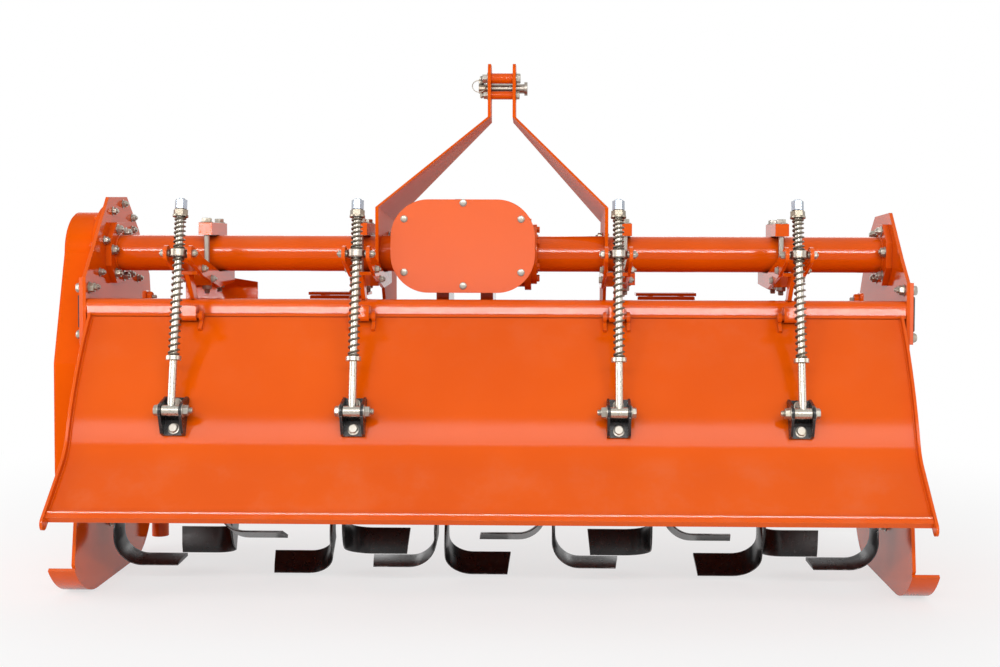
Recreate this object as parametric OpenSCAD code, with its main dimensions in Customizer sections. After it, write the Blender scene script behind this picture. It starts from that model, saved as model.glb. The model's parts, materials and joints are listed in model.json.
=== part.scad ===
// Rotary tiller for a tractor's three-point hitch. Millimetres; x to the right,
// y forward to the tractor, z up from the floor.

/* [Frame] */
// Thickness of the side plates
side_t = 8; // [6:1:12]
// Main tube, outer radius
tube_r = 44.45; // [38:0.05:50]
// Main tube axis, forward of the machine datum
tube_y = 175; // [170:1:180]
// Main tube axis height
tube_z = 797; // [790:1:800]
// Wall of the main tube
tube_wall = 6; // [4:1:8]

/* [Gearbox] */
// Middle of the gearbox, sideways
box_x = -77; // [-90:1:-70]
// Middle of the rear cover, height
box_z = 816; // [812:1:820]
// Rear cover width
cover_w = 342; // [320:1:350]
// Rear cover height
cover_h = 221; // [205:1:225]
// Input shaft, sideways
input_x = 0; // [-10:1:10]

/* [Rotor] */
// Rotor axis, forward of the datum
rotor_y = 140; // [130:1:150]
// Radius at the tine tips
tip_r = 245; // [225:1:247]
// Height of the tine tips over the floor
tip_gap = 8; // [6:1:20]
// Flanges on the rotor
flange_n = 8; // [4:1:8]
// Distance from flange to flange
flange_pitch = 260.5; // [255:0.5:261]
// Room between the end flange and the side plate
rotor_end = 43.25; // [40:0.25:60]
// Radius of the flanges
flange_r = 105; // [95:1:115]
// Lean of a tine's leg to the cutting circle
tine_rake = 37; // [32:1:42]
// Width of a tine's leg
tine_w = 66; // [55:1:70]
// Sideways reach of a tine from its flange
tine_reach = 158; // [140:1:165]

/* [Trailing board] */
// Air between the board and the side plates
board_gap = 10; // [9:1:20]
// Radius of the upper part
board_r = 855; // [800:1:900]
// Lean of the sheet at the hinge, from upright
board_top_lean = 41.1; // [39:0.1:43]
// Lean of the sheet just over the bend
board_low_lean = 20; // [18:0.2:22]
// Lean of the flare below the bend
board_flare_lean = 49.3; // [45:0.1:52]
// Sheet thickness
board_t = 5; // [4:0.5:6]

/* [Spring rods] */
// Radius of the rods
rod_r = 8.5; // [8:0.1:9]
// Height of the swivel line
swivel_z = 798; // [792:1:804]
// Swivel line, behind the datum
swivel_y = -154; // [-160:1:-148]
// Wire radius of the springs
wire_r = 2.8; // [2.5:0.1:3.2]
// Mean radius of the springs
coil_r = 12.6; // [12:0.1:14]

/* [Hitch] */
// Left foot of the mast, sideways
foot_left = -291; // [-296:1:-286]
// Right foot of the mast, sideways
foot_right = 266; // [260:1:270]
// Half the distance between the mast's heads
head_half = 32.5; // [30:0.5:36]
// Top of the mast
mast_top = 1294; // [1280:1:1300]
// Lower hitch points, half spacing
hitch_half = 437; // [430:1:445]
// Lower hitch holes, forward of the datum
hitch_y = 500; // [495:1:505]
// Lower hitch holes, height
hitch_z = 646; // [640:1:650]
// Top link pin, forward of the datum
top_y = 430; // [425:1:432]
// Top link pin, below the mast's top
top_drop = 61; // [55:1:65]
// Radius of the top link pin
top_r = 12.5; // [12:0.1:13]

/* [Hidden] */
$fn = 64;

paint = [0.85, 0.25, 0.08];
steel = [0.72, 0.73, 0.75];
black = [0.10, 0.10, 0.11];
dark = [0.25, 0.24, 0.23];
// air left between curved faces of fixed pieces, and at pins that turn
seat = 0.2;
run = 0.06;

side_in = (flange_n - 1) / 2 * flange_pitch + rotor_end;
side_out = side_in + side_t;
board_half = side_in - board_gap;
rotor_z = tip_r + tip_gap;
case_w = 87;
cap_w = 57;
case_out = side_out + case_w;
cap_out = side_out + cap_w;
rod_x = [-706, -305, 284, 686];
beam_y = 420;
beam_s = 60;
beam_z = 486;
hood_top = 666;
hood_t = 5;
hood_r = 120;
hood_flat = 305;
hood_low = 430;
top_z = mast_top - top_drop;
neck = 139;
foot_back = 95;
foot_fore = 430;
head_back = 380;
head_fore = 450;
bar_y = -45;
bar_z = 658;
bar_top = 691;
hinge_y = -61.5;
hinge_z = 653;
pin_r = 7;

// board outline: centre of the upper arc, kink, centre of the bend, start of the flare
board_from = [hinge_y + 14.2, hinge_z - 3.5];
function nrm(a) = [-cos(a), sin(a)];
function along(a) = [-sin(a), -cos(a)];
arc_c = board_from - board_r * nrm(board_top_lean);
kink = arc_c + board_r * nrm(board_low_lean);
bend_r = 120;
bend_c = kink + bend_r * nrm(board_low_lean);
flare = bend_c - bend_r * nrm(board_flare_lean);
flare_len = 133.7;
board_end = flare + flare_len * along(board_flare_lean);
lip_out = 14;
lip_in = 16;
lip_more = 24;
lip_mid = board_end + lip_more * along(board_flare_lean)
  + (lip_out - lip_in) / 2 * nrm(board_flare_lean);

// the rods: pin on the board, swivel over it
clevis_lean = 23.9;
pin_h = 44;
rod_pin = arc_c + (board_r + pin_h) * nrm(clevis_lean);
rod_run = [swivel_y, swivel_z] - rod_pin;
rod_len = norm(rod_run);
rod_tilt = atan2(rod_run[0], rod_run[1]);
collar_a = 112;
collar_b = 121;
ring_half = 9;
ring_r = 18;
upper_len = 75.2;
cap_a = rod_len + ring_half + upper_len;

// outermost points, and the shift that puts the origin under the middle
hitch_lug = 30;
hitch_front = hitch_y + hitch_lug;
rear_out = lip_mid[0] - (lip_out + lip_in) / 2;
mid_x = (cap_out - case_out) / 2;
mid_y = (hitch_front + rear_out) / 2;

// placing helpers
module place() translate([-mid_x, -mid_y, 0]) children();
module along_x(x0, x1) translate([x0, 0, 0]) rotate([90, 0, 90]) linear_extrude(x1 - x0) children();
module along_y(y0, y1) translate([0, y1, 0]) rotate([90, 0, 0]) linear_extrude(y1 - y0) children();
module bar_x(x0, x1, y, z, r) translate([x0, y, z]) rotate([0, 90, 0]) cylinder(h = x1 - x0, r = r);
module bar_y(y0, y1, x, z, r) translate([x, y0, z]) rotate([-90, 0, 0]) cylinder(h = y1 - y0, r = r);
module box(x0, x1, y0, y1, z0, z1) translate([x0, y0, z0]) cube([x1 - x0, y1 - y0, z1 - z0]);
module round_rect(w, h, r) {
  square([w - 2 * r, h], center = true);
  square([w, h - 2 * r], center = true);
  for (i = [-1, 1], j = [-1, 1]) translate([i * (w / 2 - r), j * (h / 2 - r)]) circle(r);
}
module sector(c, r0, r1, a0, a1) translate(c) intersection() {
  difference() {
    circle(r1, $fn = 360);
    circle(r0, $fn = 360);
  }
  polygon([[0, 0], 2 * r1 * [cos(a0), sin(a0)], 2 * r1 * [cos((a0 + a1) / 2), sin((a0 + a1) / 2)],
    2 * r1 * [cos(a1), sin(a1)]]);
}
module slab(p, q, t0, t1) {
  d = (q - p) / norm(q - p);
  n = [-d[1], d[0]];
  polygon([p + t0 * n, q + t0 * n, q + t1 * n, p + t1 * n]);
}

// frame
module tube_part(x0, x1, plate_end, box_end) difference() {
  union() {
    bar_x(x0, x1, tube_y, tube_z, tube_r);
    translate([plate_end, tube_y, tube_z]) rotate([0, 90, 0]) rotate([0, 0, 22.5])
      cylinder(h = 14, r = 75 / cos(22.5), center = true, $fn = 8);
    bar_x(box_end - 7, box_end + 7, tube_y, tube_z, 75);
  }
  bar_x(x0 - 20, x1 + 20, tube_y, tube_z, tube_r - tube_wall);
}
box_left = box_x - 115;
box_right = box_x + 160;
module main_tube_left() color(paint) place()
  tube_part(-side_in, box_left, -side_in + 7, box_left - 7);
module main_tube_right() color(paint) place()
  tube_part(box_right, side_in, side_in - 7, box_right + 7);

cover_y = 12;
cover_t = 16;
rim_t = 18;
body_y = cover_y + cover_t + rim_t;
body_len = 200;
nose_y = body_y + body_len;
nose_len = 54;
neck_len = 36;
face_t = 14;
face_y = nose_y + nose_len + neck_len + face_t;
body_w = 2 * (box_x - box_left) - 4;
body_h = cover_h - 34;
nose_r = 80;
module gearbox_housing() color(paint) place() difference() {
  union() {
    along_y(cover_y + cover_t, body_y) translate([box_x, box_z]) round_rect(cover_w - 6, cover_h - 6, 87);
    along_y(body_y, nose_y) translate([box_x, box_z]) round_rect(body_w, body_h, 62);
    for (x = [box_x - 70, box_x + 70]) box(x - 5, x + 5, body_y, nose_y - 6,
      box_z - cover_h / 2 + 8, box_z + cover_h / 2 - 8);
    bar_x(box_left, box_right, tube_y, tube_z, 82);
    bar_x(box_left, box_left + 16, tube_y, tube_z, 90);
    bar_x(box_right - 16, box_right, tube_y, tube_z, 90);
    bar_y(nose_y, nose_y + nose_len, input_x, box_z, nose_r);
    bar_y(nose_y + nose_len, face_y - face_t, input_x, box_z, 62);
    bar_y(face_y - face_t, face_y, input_x, box_z, 74);
    for (a = [45:90:315]) translate([input_x, 0, box_z]) rotate([0, a, 0]) box(58, 86, nose_y, face_y - face_t, -5, 5);
    translate([box_x - 20, 150, box_z + body_h / 2 - 4]) cylinder(h = 16, r = 20);
    for (x = [-128, -22]) {
      box(x - 15, x + 15, 60, 230, hood_top + 10, box_z - body_h / 2 + 6);
      box(x - 19, x + 19, 52, 240, hood_top, hood_top + 10);
    }
  }
  bar_y(face_y - 50, face_y + 1, input_x, box_z, 20 + run);
}
module gearbox_cover() color(paint) place()
  along_y(cover_y, cover_y + cover_t) translate([box_x, box_z]) round_rect(cover_w, cover_h, 90);
guard_r = 96;
guard_t = 4;
guard_len = 100;
module pto_guard() color(black) place() difference() {
  union() {
    bar_y(face_y, face_y + guard_t, input_x, box_z, guard_r);
    difference() {
      bar_y(face_y + guard_t, face_y + guard_len, input_x, box_z, guard_r);
      bar_y(face_y + guard_t - 1, face_y + guard_len + 1, input_x, box_z, guard_r - guard_t);
      box(input_x - guard_r - 20, input_x + guard_r + 20, face_y + guard_t, face_y + guard_len + 10,
        box_z - guard_r - 20, box_z - 40);
    }
  }
  bar_y(face_y - 10, face_y + 10, input_x, box_z, 40);
}

plate_left = [[-45, 741], [27, 820], [128, 934], [270, 939], [370, 855], [462, 736], [470, 690],
  [470, 480], [430, 400], [400, 160], [310, 66], [140, 60], [53, 126], [-45, 200]];
plate_right = [[-45, 734], [20, 790], [135, 900], [283, 893], [359, 835], [446, 696], [470, 640],
  [470, 480], [430, 400], [400, 160], [310, 66], [140, 60], [53, 126], [-45, 200]];
module side_plate_left() color(paint) place()
  along_x(-side_out, -side_in) polygon(plate_left);
module side_plate_right() color(paint) place()
  along_x(side_in, side_out) polygon(plate_right);
module side_strap_left() color(paint) place() box(-side_out - 8, -side_out, bar_y, bar_y + 36, 582, 741);
module side_strap_right() color(paint) place() box(side_out, side_out + 8, bar_y, bar_y + 40, 591, 734);
case_r = 118;
low_r = 162;
low_z = rotor_z + 32;
module case_outline(m) {
  translate([tube_y, tube_z]) circle(case_r + m);
  polygon([[tube_y - case_r - m, tube_z], [-22 - m, 535], [-22 - m, low_z], [302 + m, low_z], [302 + m, 535],
    [tube_y + case_r + m, tube_z]]);
  translate([rotor_y, low_z]) circle(low_r + m);
}
module side_gear_case() color(paint) place() {
  along_x(-case_out, -side_out) case_outline(-26);
  along_x(-case_out + 2, -side_out) case_outline(-22);
  along_x(-case_out + 6, -side_out) case_outline(-18);
  along_x(-side_out - 12, -side_out) case_outline(0);
}
module hub(s) difference() {
  bar_x(s > 0 ? side_in - 28 : -side_in, s > 0 ? side_in : -side_in + 28, rotor_y, rotor_z, 68);
  bar_x(-side_in, side_in, rotor_y, rotor_z, 30 + run);
}
module bearing_hub_left() color(paint) place() hub(-1);
module bearing_hub_right() color(paint) place() {
  hub(1);
  bar_x(side_out, cap_out, rotor_y, rotor_z, 72);
}

module skid_shape(x0, x1, s0, s1) {
  along_x(s0, s1) {
    translate([0, 0]) square([290, 8]);
    sector([0, 202], 194, 202, 219, 270);
    sector([290, 160], 152, 160, 270, 330);
  }
  along_x(x0, x1) intersection() {
    polygon([[-160, 70], [-140, 190], [-60, 215], [20, 170], [290, 170], [360, 190], [420, 190],
      [440, 80], [290, -20], [0, -20]]);
    union() {
      translate([0, 8]) square([290, 300]);
      intersection() {
        translate([0, 202]) circle(194);
        translate([-300, 0]) square([300, 300]);
      }
      intersection() {
        translate([290, 160]) circle(152);
        translate([290, 0]) square([300, 300]);
      }
    }
  }
}
skid_t = 8;
sole_w = 62;
module skid_left() color(paint) place()
  skid_shape(-side_in, -side_in + skid_t, -side_in + skid_t - sole_w, -side_in + skid_t);
module skid_right() color(paint) place()
  skid_shape(side_in - skid_t, side_in, side_in - skid_t, side_in - skid_t + sole_w);

hood_back = bar_y + 40;
module hood() color(paint) place() along_x(-side_in, side_in) {
  translate([hood_back, hood_top - hood_t]) square([hood_flat, hood_t]);
  sector([hood_back + hood_flat, hood_top - hood_r], hood_r - hood_t, hood_r, 0, 90);
  translate([hood_back + hood_flat + hood_r - hood_t, hood_low]) square([hood_t, hood_top - hood_r - hood_low]);
}
module hinge_bar() color(paint) place() {
  along_x(-side_in, side_in) {
    translate([bar_y, bar_z]) square([40, bar_top - bar_z - 17]);
    translate([bar_y + 17, bar_top - 18]) square([23, 18]);
    translate([bar_y + 17, bar_top - 17]) circle(17);
  }
  for (x = rod_x) difference() {
    along_x(x - 17, x + 17) {
      translate([hinge_y, hinge_z]) circle(12);
      translate([hinge_y - 12, hinge_z]) square([bar_y - hinge_y + 12, 24]);
    }
    bar_x(x - 20, x + 20, hinge_y, hinge_z, pin_r + run);
  }
}
module front_beam() color(paint) place() difference() {
  box(-side_in + sleeve_w, side_in, beam_y, beam_y + beam_s, beam_z, beam_z + beam_s);
  box(-side_in + sleeve_w - 1, side_in + 1, beam_y + 5, beam_y + beam_s - 5, beam_z + 5, beam_z + beam_s - 5);
}
arm_in = 23.5;
arm_t = 8;
clamp_w = 33;
clamp_h = 30;
clamp_half = 77;
clamp_off = [-4, -27, 27, 4];
clamp_low = tube_z - tube_r - seat - clamp_h;
brace_t = 10;
brace_top = 752;
// two arms slope from the swivel down under the main tube; a brace stands on the hinge bar between them
module rod_bracket(x, off) color(paint) place() difference() {
  union() {
    for (s = [-1, 1]) along_x(x + (s > 0 ? arm_in : -arm_in - arm_t), x + (s > 0 ? arm_in + arm_t : -arm_in)) {
      translate([swivel_y, swivel_z]) circle(18);
      polygon([[swivel_y + 2, swivel_z + 18], [-60, swivel_z - 10], [tube_y - clamp_half, clamp_low + clamp_h],
        [tube_y + clamp_half, clamp_low + clamp_h], [tube_y + clamp_half, clamp_low], [tube_y - clamp_half, clamp_low - 8],
        [-60, swivel_z - 52], [swivel_y - 6, swivel_z - 17]]);
    }
    box(x - arm_in - 1, x + arm_in + 1, 40, 52, clamp_low - 2, clamp_low + clamp_h - 4);
    box(x - arm_in - 1, x + arm_in + 1, -92, -48, brace_top - 3, brace_top + 5);
    along_x(x - brace_t / 2, x + brace_t / 2)
      polygon([[bar_y + 7, bar_top], [bar_y + 35, bar_top], [-48, brace_top], [-92, brace_top]]);
    box(x + off - arm_in - 1, x + off + arm_in + 1, tube_y - clamp_half, tube_y + clamp_half, clamp_low, clamp_low + clamp_h);
    box(x + off - clamp_w / 2, x + off + clamp_w / 2, tube_y - clamp_half, tube_y + clamp_half,
      tube_z + tube_r + seat, tube_z + tube_r + seat + clamp_h);
  }
  bar_x(x - 80, x + 80, tube_y, tube_z, tube_r + seat);
  bar_x(x - 60, x + 60, swivel_y, swivel_z, 8 + run);
}
module rod_bracket_1() rod_bracket(rod_x[0], clamp_off[0]);
module rod_bracket_2() rod_bracket(rod_x[1], clamp_off[1]);
module rod_bracket_3() rod_bracket(rod_x[2], clamp_off[2]);
module rod_bracket_4() rod_bracket(rod_x[3], clamp_off[3]);

foot_t = 8;
foot_top = 910;
module mast_arm(xf, xh) color(paint) place() difference() {
  union() {
    along_x(xf - foot_t / 2, xf + foot_t / 2)
      polygon([[foot_back, tube_z - 62], [foot_back, foot_top], [foot_fore, foot_top - 30], [beam_y + beam_s - 2, 760],
        [beam_y + beam_s - 2, beam_z + beam_s], [beam_y + 4, beam_z + beam_s], [beam_y + 4, 600],
        [398, 640], [340, hood_top + 10], [240, hood_top + 10], [200, tube_z - 62]]);
    polyhedron([[xf - foot_t / 2, foot_back, foot_top], [xf + foot_t / 2, foot_back, foot_top],
      [xf + foot_t / 2, foot_fore, foot_top - 30], [xf - foot_t / 2, foot_fore, foot_top - 30],
      [xh - foot_t / 2, head_back, mast_top - neck], [xh + foot_t / 2, head_back, mast_top - neck],
      [xh + foot_t / 2, head_fore, mast_top - neck - 10], [xh - foot_t / 2, head_fore, mast_top - neck - 10]],
      [[0, 1, 2], [0, 2, 3], [7, 6, 5], [7, 5, 4], [0, 4, 5], [0, 5, 1], [1, 5, 6], [1, 6, 2], [2, 6, 7],
      [2, 7, 3], [3, 7, 4], [3, 4, 0]]);
    along_x(xh - foot_t / 2, xh + foot_t / 2) polygon([[head_back, mast_top - neck], [head_fore, mast_top - neck - 10],
      [head_fore, mast_top - 12], [head_fore - 12, mast_top], [head_back + 12, mast_top], [head_back, mast_top - 12]]);
  }
  bar_x(xf - 20, xf + 20, tube_y, tube_z, tube_r + seat);
  bar_x(xh - 20, xh + 20, top_y, top_z, top_r + run);
}
module mast_arm_left() mast_arm(foot_left, -head_half);
module mast_arm_right() mast_arm(foot_right, head_half);
module mast_spacers() color(paint) place() {
  bar_x(-head_half + foot_t / 2, head_half - foot_t / 2, top_y - 27, top_z + 24, 14);
  bar_x(-head_half + foot_t / 2, head_half - foot_t / 2, top_y - 27, top_z - 20, 11);
}
module top_link_pin() color(steel) place() {
  bar_x(-head_half - 30, head_half + 26, top_y, top_z, top_r);
  bar_x(head_half + 26, head_half + 34, top_y, top_z, top_r + 5.5);
}
module lower_hitch(s) color(paint) place() difference() {
  union() {
    for (d = [-1, 1]) along_x(s * hitch_half + d * 41 - 6, s * hitch_half + d * 41 + 6)
      union() {
        polygon([[424, beam_z + beam_s], [424, hitch_z + 38], [hitch_y - 10, hitch_z + 38],
          [hitch_y, hitch_z + hitch_lug], [hitch_y + 18, hitch_z - 24], [480, beam_z + beam_s]]);
        translate([hitch_y, hitch_z]) circle(hitch_lug);
      }
    box(s * hitch_half - 80, s * hitch_half + 80, 424, hitch_y, hitch_z + 38, hitch_z + 46);
  }
  bar_x(s * hitch_half - 90, s * hitch_half + 90, hitch_y, hitch_z, 14.25);
}
module lower_hitch_left() lower_hitch(-1);
module lower_hitch_right() lower_hitch(1);
sleeve_w = 57;
stand_x = -side_in + sleeve_w / 2;
stand_y = 450;
module stand_sleeve() color(paint) place() difference() {
  box(-side_in, -side_in + sleeve_w, stand_y - 28, stand_y + 28, 470, 630);
  translate([stand_x, stand_y, 460]) cylinder(h = 180, r = 22.5 + run);
}
module stand_leg() color(paint) place() difference() {
  translate([stand_x, stand_y, 29]) cylinder(h = 629, r = 22.5);
  translate([stand_x, stand_y, 28]) cylinder(h = 624, r = 18.5);
}

// rotor
flange_x = [for (i = [0:flange_n - 1]) (i - (flange_n - 1) / 2) * flange_pitch];
flange_t = 12;
tine_t = 8;
bend_in = 32;
tine_b = tine_w * sin(tine_rake) + tine_t * cos(tine_rake);
leg_r = -tine_b / 2 + sqrt(tine_b * tine_b / 4 - (tine_w * tine_w + tine_t * tine_t) / 4 + tip_r * tip_r);
leg_x = leg_r * sin(tine_rake);
leg_y = leg_r * cos(tine_rake) - tine_t / 2 - bend_in;
leg_steps = 9;
edge_t = 2;
edge_w = 20;
function bez(a, b, c, t) = (1 - t) * (1 - t) * a + 2 * t * (1 - t) * b + t * t * c;
// a tine lies flat: a sickle leg, a round bend, and a blade with a ground edge and a rounded tip
module tine_blank() {
  rr = [sin(tine_rake), cos(tine_rake)];
  tt = [cos(tine_rake), -sin(tine_rake)];
  lead = leg_x + tine_w / 2;
  heel = leg_x - tine_w / 2;
  blade = tine_reach - tine_t - bend_in;
  linear_extrude(tine_t) polygon(concat(
    [for (i = [0:leg_steps]) bez(62 * rr + 30 * tt, [lead, leg_y - 60], [lead, leg_y], i / leg_steps)],
    [for (i = [leg_steps:-1:0]) bez(62 * rr - 30 * tt, [heel, leg_y - 40], [heel, leg_y], i / leg_steps)]));
  translate([heel, leg_y, tine_t + bend_in]) rotate([0, 90, 0]) rotate_extrude(angle = 90)
    polygon([[bend_in, 0], [bend_in + tine_t, 0], [bend_in + tine_t, tine_w], [bend_in + tine_t - edge_t, tine_w],
      [bend_in, tine_w - edge_w]]);
  translate([heel, leg_y + bend_in, tine_t + bend_in]) intersection() {
    linear_extrude(blade) polygon([[0, 0], [tine_w - edge_w, 0], [tine_w, tine_t - edge_t], [tine_w, tine_t], [0, tine_t]]);
    translate([0, tine_t + 1, 0]) rotate([90, 0, 0]) linear_extrude(tine_t + 2)
      polygon([[-1, -1], [tine_w + 1, -1], [tine_w + 1, blade - 40], [tine_w - 5, blade - 22], [tine_w - 17, blade - 9],
        [tine_w - 34, blade - 2], [tine_w - 44, blade], [-1, blade]]);
  }
}
module tine(x, s, a) translate([x + s * flange_t / 2, rotor_y, rotor_z]) rotate([180 - a + tine_rake, 0, 0])
  mirror([s > 0 ? 0 : 1, 0, 0]) rotate([90, 0, 90]) tine_blank();
module rotor_shaft() color(paint) place() {
  bar_x(flange_x[0], flange_x[flange_n - 1], rotor_y, rotor_z, 38);
  for (x = flange_x) bar_x(x - flange_t / 2, x + flange_t / 2, rotor_y, rotor_z, flange_r);
  bar_x(-side_in + 1, side_in - 1, rotor_y, rotor_z, 30);
}
module tines_left_hand() color(dark) place()
  for (i = [1:flange_n - 1], k = [0:2]) tine(flange_x[i], -1, 30 * (i - 2) + 120 * k);
module tines_right_hand() color(dark) place()
  for (i = [0:flange_n - 2], k = [0:2]) tine(flange_x[i], 1, 30 * (i - 3) + 120 * k);
spline_len = 90;
module input_shaft() color(steel) place() {
  bar_y(face_y - 48, face_y + 6, input_x, box_z, 20);
  bar_y(face_y + 6, face_y + spline_len, input_x, box_z, 14.6);
  intersection() {
    bar_y(face_y + 6, face_y + spline_len - 2, input_x, box_z, 17.4);
    for (a = [0, 60, 120]) translate([input_x, 0, box_z]) rotate([0, a, 0])
      box(-20, 20, face_y, face_y + spline_len, -4.3, 4.3);
  }
}

// board
lip_t = 6;
module board_strip(o, i) {
  sector(arc_c, board_r - i, board_r + o, 180 - board_top_lean, 180 - board_low_lean);
  sector(bend_c, bend_r - o, bend_r + i, -board_flare_lean, -board_low_lean);
  slab(flare - 1 * along(board_flare_lean), board_end, -o, i);
}
module trailing_board() color(paint) place()
  along_x(-board_half + lip_t, board_half - lip_t) board_strip(0, board_t);
module board_edging() color(paint) place() {
  for (s = [-1, 1]) along_x(s > 0 ? board_half - lip_t : -board_half, s > 0 ? board_half : -board_half + lip_t) {
    board_strip(lip_out, lip_in);
    slab(board_end, board_end + lip_more * along(board_flare_lean), -lip_out, lip_in);
    translate(lip_mid) circle((lip_out + lip_in) / 2);
  }
  along_x(-board_half + lip_t, board_half - lip_t)
    slab(board_end, board_end + 16 * along(board_flare_lean), -8, 8);
}
module on_board(x) translate([x, arc_c[0], arc_c[1]]) rotate([90 - clevis_lean, 0, 0])
  translate([0, 0, board_r]) children();
cheek_in = 20.5;
cheek_t = 5.5;
module rod_clevises() color(black) place() for (x = rod_x) on_board(x) {
  difference() {
    union() {
      translate([-cheek_in - cheek_t, -46, 0]) cube([2 * (cheek_in + cheek_t), 88, 6]);
      for (s = [-1, 1]) along_x(s > 0 ? cheek_in : -cheek_in - cheek_t, s > 0 ? cheek_in + cheek_t : -cheek_in) {
        polygon([[-46, 0], [42, 0], [42, 14], [15, pin_h + 8], [-15, pin_h + 8], [-46, 20]]);
        translate([0, pin_h]) circle(16);
      }
    }
    bar_x(-40, 40, 0, pin_h, pin_r - 0.05);
  }
  bar_x(-cheek_in - cheek_t - 4, cheek_in + cheek_t + 4, 0, pin_h, pin_r - 0.05);
}
module hinge_pins() color(paint) place() for (x = rod_x) {
  bar_x(x - 32, x + 32, hinge_y, hinge_z, pin_r);
  for (s = [-1, 1]) along_x(x + (s > 0 ? 23 : -31), x + (s > 0 ? 31 : -23)) {
    translate([hinge_y, hinge_z]) circle(12);
    slab(board_from + 2 * along(board_top_lean), board_from + 40 * along(board_top_lean), -8, 0);
  }
}

// rods in their own frame: z runs up the rod from the pin
module on_rod(x) translate([x, rod_pin[0], rod_pin[1]]) rotate([-rod_tilt, 0, 0]) children();
module rod(x) color(steel) place() on_rod(x) {
  difference() {
    union() {
      bar_x(-19, 19, 0, 0, 12);
      cylinder(h = cap_a + 42, r = rod_r);
    }
    bar_x(-30, 30, 0, 0, pin_r + run);
  }
  translate([0, 0, collar_a]) cylinder(h = collar_b - collar_a, r = 17);
  translate([0, 0, cap_a]) cylinder(h = 4, r = 17.5);
  translate([0, 0, cap_a + 4]) cylinder(h = 12, r = 16.5, $fn = 6);
  translate([0, 0, cap_a + 18]) cylinder(h = 21, r = 13.9, $fn = 6);
}
module rod_1() rod(rod_x[0]);
module rod_2() rod(rod_x[1]);
module rod_3() rod(rod_x[2]);
module rod_4() rod(rod_x[3]);
module spring(z0, z1, turns) {
  seg = 8;
  side = 5;
  n = round(turns * seg);
  h = z1 - z0 - 2 * wire_r;
  pts = [for (i = [0:n], j = [0:side - 1]) let(a = 360 * i / seg, b = 360 * j / side, r = coil_r + wire_r * cos(b))
    [r * cos(a), r * sin(a), z0 + wire_r + h * i / n + wire_r * sin(b)]];
  faces = concat([[for (j = [0:side - 1]) j]], [[for (j = [side - 1:-1:0]) n * side + j]],
    [for (i = [0:n - 1], j = [0:side - 1]) let(k = (j + 1) % side)
      [i * side + j, (i + 1) * side + j, (i + 1) * side + k]],
    [for (i = [0:n - 1], j = [0:side - 1]) let(k = (j + 1) % side)
      [i * side + j, (i + 1) * side + k, i * side + k]]);
  polyhedron(pts, faces);
}
module lower_springs() color(steel) place() for (x = rod_x) on_rod(x)
  spring(collar_b + 0.2, rod_len - ring_half - 0.2, 16);
module upper_springs() color(steel) place() for (x = rod_x) on_rod(x)
  spring(rod_len + ring_half + 0.2, cap_a - 0.2, 6);
module swivels() color(steel) place() for (x = rod_x) on_rod(x) translate([0, 0, rod_len]) difference() {
  union() {
    translate([0, 0, -ring_half]) cylinder(h = 2 * ring_half, r = ring_r);
    bar_x(-arm_in - arm_t - 6, arm_in + arm_t + 6, 0, 0, 8);
  }
  translate([0, 0, -20]) cylinder(h = 40, r = rod_r + 2.5);
}

main_tube_left();
main_tube_right();
gearbox_housing();
gearbox_cover();
pto_guard();
side_plate_left();
side_plate_right();
side_strap_left();
side_strap_right();
side_gear_case();
bearing_hub_left();
bearing_hub_right();
skid_left();
skid_right();
hood();
hinge_bar();
front_beam();
rod_bracket_1();
rod_bracket_2();
rod_bracket_3();
rod_bracket_4();
mast_arm_left();
mast_arm_right();
mast_spacers();
top_link_pin();
lower_hitch_left();
lower_hitch_right();
stand_sleeve();
stand_leg();
rotor_shaft();
tines_left_hand();
tines_right_hand();
trailing_board();
board_edging();
rod_clevises();
hinge_pins();
rod_1();
rod_2();
rod_3();
rod_4();
lower_springs();
upper_springs();
swivels();
input_shaft();
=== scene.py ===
import json
import math
import random

import bmesh
import bpy
from mathutils import Matrix, Vector


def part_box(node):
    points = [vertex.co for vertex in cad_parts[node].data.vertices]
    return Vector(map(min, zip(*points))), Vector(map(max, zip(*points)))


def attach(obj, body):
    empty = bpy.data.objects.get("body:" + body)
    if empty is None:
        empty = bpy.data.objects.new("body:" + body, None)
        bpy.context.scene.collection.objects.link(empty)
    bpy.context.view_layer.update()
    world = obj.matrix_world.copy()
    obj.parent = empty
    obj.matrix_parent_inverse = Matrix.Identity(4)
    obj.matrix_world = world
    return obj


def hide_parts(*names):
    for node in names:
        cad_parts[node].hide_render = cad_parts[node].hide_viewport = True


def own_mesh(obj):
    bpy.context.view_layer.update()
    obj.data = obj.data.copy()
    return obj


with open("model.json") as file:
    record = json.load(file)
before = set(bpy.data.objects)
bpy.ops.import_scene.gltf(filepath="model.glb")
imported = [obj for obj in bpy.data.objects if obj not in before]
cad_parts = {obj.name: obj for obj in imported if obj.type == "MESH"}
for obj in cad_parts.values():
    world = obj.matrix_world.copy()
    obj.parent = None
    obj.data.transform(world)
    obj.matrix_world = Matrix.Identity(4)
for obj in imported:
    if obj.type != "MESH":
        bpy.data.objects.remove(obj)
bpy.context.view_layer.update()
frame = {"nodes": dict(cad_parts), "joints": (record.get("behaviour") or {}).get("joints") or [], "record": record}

bl_info = {
    "name": "Rotary tiller dresser",
    "version": (1, 0, 0),
    "blender": (4, 5, 0),
    "location": "View3D > Sidebar > Tiller",
    "description": "Dresses the packed solid model of a rotary tiller",
    "category": "Object",
}

MM = 0.001
RECORD = frame["record"]
JOINTS = {j["name"]: j for j in frame["joints"]}
MOUNTS = {m["name"]: m for m in RECORD["mounts"]}

# The source counts from a datum in millimetres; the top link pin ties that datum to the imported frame.
DATUM = Vector(MOUNTS["top_link"]["pos_m"]) - Vector((0.0, 0.430, 1.233))


def spot(x, y, z):
    """A place in the source's millimetres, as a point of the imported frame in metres."""
    return DATUM + Vector((x, y, z)) * MM


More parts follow.
